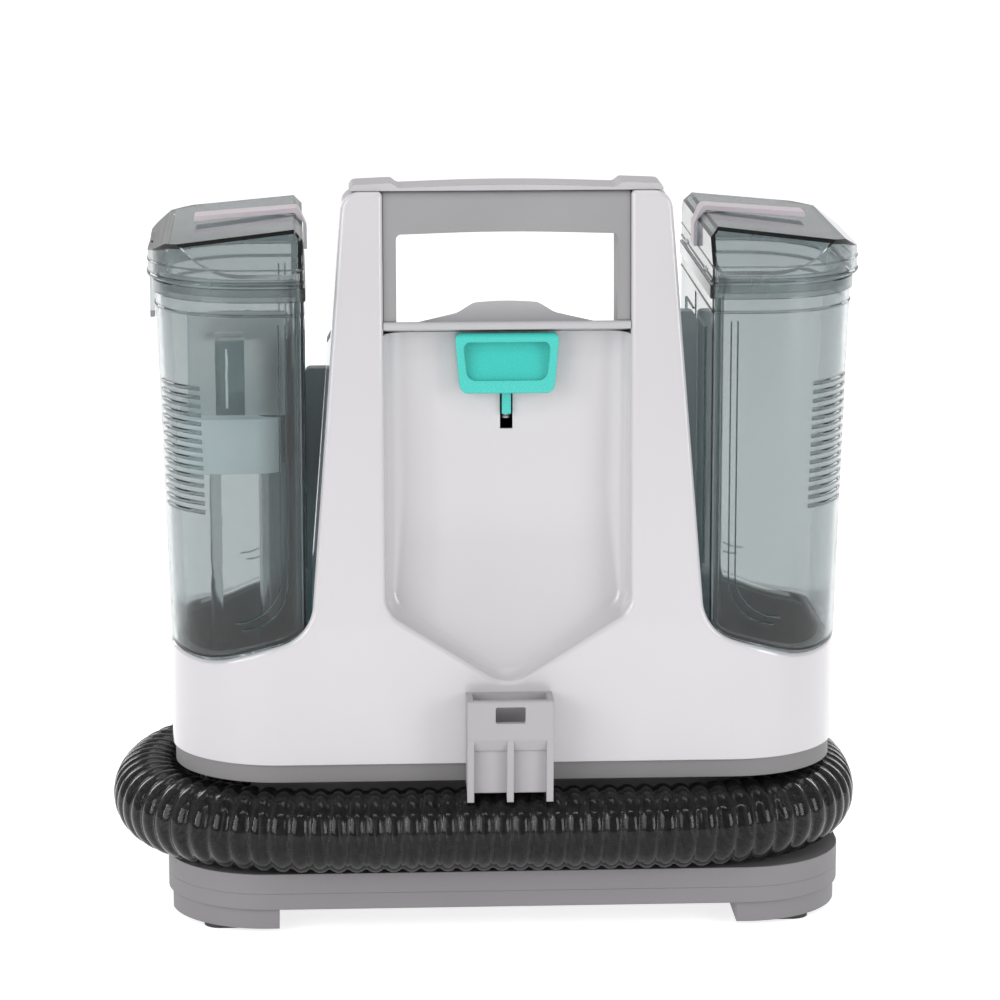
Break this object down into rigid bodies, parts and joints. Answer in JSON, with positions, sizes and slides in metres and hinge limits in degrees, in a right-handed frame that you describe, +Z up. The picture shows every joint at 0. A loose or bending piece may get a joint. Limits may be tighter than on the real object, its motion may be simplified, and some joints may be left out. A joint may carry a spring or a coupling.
{
  "type": "portable carpet cleaner",
  "caption": "Portable spot cleaner: white column with a grey handle, a smoke-clear tank docked at each side, and a black ribbed suction hose wrapped round a dark neck above a grey base tray.",
  "frame": {"origin": "on the floor, below the middle of the machine", "axes": "+Z up, +X to the right of someone facing the front, the front faces -Y"},
  "size_m": [0.3752, 0.207, 0.3652],
  "materials": {
    "white_shell": "glossy white, faint cool tint",
    "grey_trim": "satin mid grey",
    "light_trim": "satin light grey",
    "dock_grey": "satin cool grey",
    "dark_plastic": "matt dark grey",
    "teal": "glossy teal",
    "button_grey": "satin grey",
    "smoke_clear": "transparent smoke grey",
    "pale_strap": "satin pale grey",
    "float_white": "milky white",
    "hose_black": "glossy translucent black",
    "black_rubber": "matt rubber",
    "clear_tube": "clear soft plastic",
    "duct_grey": "matt grey",
    "steel": "brushed",
    "impeller_alloy": "satin",
    "board_green": "coated board",
    "filter_foam": "open foam"
  },
  "bodies": {
    "chassis": {"base_plate": "light_trim", "base_tray": "light_trim", "button_spring": "steel", "chassis_rim": "grey_trim", "clean_valve_seat": "dark_plastic", "control_board": "board_green", "cord_gland": "dark_plastic", "deck_cover": "grey_trim", "dirty_water_duct": "duct_grey", "dock_port_seals": "black_rubber", "exhaust_filter": "filter_foam", "exhaust_grille": "grey_trim", "fan_cradle": "dark_plastic", "fan_housing": "dark_plastic", "front_shell": "white_shell", "handle_frame": "grey_trim", "handle_top_cover": "light_trim", "hose_connector": "dark_plastic", "hose_parking_clip": "dark_plastic", "hose_port_elbow": "dark_plastic", "latch_spring": "steel", "left_dock_liner": "dock_grey", "left_guide_rail": "dock_grey", "motor_mounts": "black_rubber", "motor_stator": "steel", "neck_wall": "dark_plastic", "power_switch": "dark_plastic", "pump_body": "dark_plastic", "pump_inlet_tube": "clear_tube", "pump_outlet_tube": "clear_tube", "rear_shell": "white_shell", "recess_panel": "white_shell", "right_dock_liner": "dock_grey", "right_guide_rail": "dock_grey", "rubber_feet": "black_rubber", "shell_screws": "steel", "suction_duct": "duct_grey", "suction_hose": "hose_black", "tool_bracket": "light_trim", "tray_screws": "steel", "vacuum_motor_can": "steel"},
    "rotor": {"motor_rotor": "steel", "impeller": "impeller_alloy"},
    "tool_latch_body": {"tool_latch": "teal"},
    "power_button_body": {"power_button": "button_grey"},
    "recovery_tank": {"recovery_tank_body": "smoke_clear", "recovery_standpipes": "smoke_clear", "float_guide_post": "smoke_clear"},
    "recovery_lid_body": {"recovery_lid": "smoke_clear", "recovery_lid_gasket": "clear_tube"},
    "recovery_latch_body": {"recovery_lid_latch": "smoke_clear"},
    "recovery_handle_body": {"recovery_carry_handle": "pale_strap"},
    "float_body": {"float_block": "float_white"},
    "clean_tank": {"clean_tank_body": "smoke_clear", "clean_valve_cap": "smoke_clear"},
    "clean_lid_body": {"clean_lid": "smoke_clear", "clean_lid_gasket": "clear_tube"},
    "clean_handle_body": {"clean_carry_handle": "pale_strap"},
    "clean_valve_body": {"clean_valve_plunger": "float_white"}
  },
  "joints": [
    {"name": "rotor_spin", "type": "hinge", "parent": "chassis", "child": "rotor", "pos_m": [0, 0.008, 0.15], "axis": [0, 0, 1], "continuous": true},
    {"name": "tool_latch_slide", "type": "slide", "parent": "chassis", "child": "tool_latch_body", "axis": [0, 0, -1], "range_m": [0, 0.006], "stiffness_N_per_m": 250, "springref_m": -0.002},
    {"name": "power_button_press", "type": "slide", "parent": "chassis", "child": "power_button_body", "axis": [0, 0, -1], "range_m": [0, 0.003], "stiffness_N_per_m": 400, "springref_m": -0.001},
    {"name": "recovery_tank_lift", "type": "slide", "parent": "chassis", "child": "recovery_tank", "axis": [0, 0, 1], "range_m": [0, 0.2]},
    {"name": "recovery_lid_lift", "type": "slide", "parent": "recovery_tank", "child": "recovery_lid_body", "axis": [0, 0, 1], "range_m": [0, 0.03]},
    {"name": "recovery_latch_swing", "type": "hinge", "parent": "recovery_lid_body", "child": "recovery_latch_body", "pos_m": [-0.1707, 0, 0.3274], "axis": [0, 1, 0], "range_deg": [0, 70]},
    {"name": "recovery_handle_raise", "type": "slide", "parent": "recovery_lid_body", "child": "recovery_handle_body", "axis": [0, 0, 1], "range_m": [0, 0.012]},
    {"name": "float_rise", "type": "slide", "parent": "recovery_tank", "child": "float_body", "axis": [0, 0, 1], "range_m": [0, 0.03]},
    {"name": "clean_tank_lift", "type": "slide", "parent": "chassis", "child": "clean_tank", "axis": [0, 0, 1], "range_m": [0, 0.2]},
    {"name": "clean_lid_lift", "type": "slide", "parent": "clean_tank", "child": "clean_lid_body", "axis": [0, 0, 1], "range_m": [0, 0.03]},
    {"name": "clean_handle_raise", "type": "slide", "parent": "clean_lid_body", "child": "clean_handle_body", "axis": [0, 0, 1], "range_m": [0, 0.012]},
    {"name": "clean_valve_open", "type": "slide", "parent": "clean_tank", "child": "clean_valve_body", "axis": [0, 0, 1], "range_m": [0, 0.003], "stiffness_N_per_m": 150, "springref_m": -0.001}
  ]
}
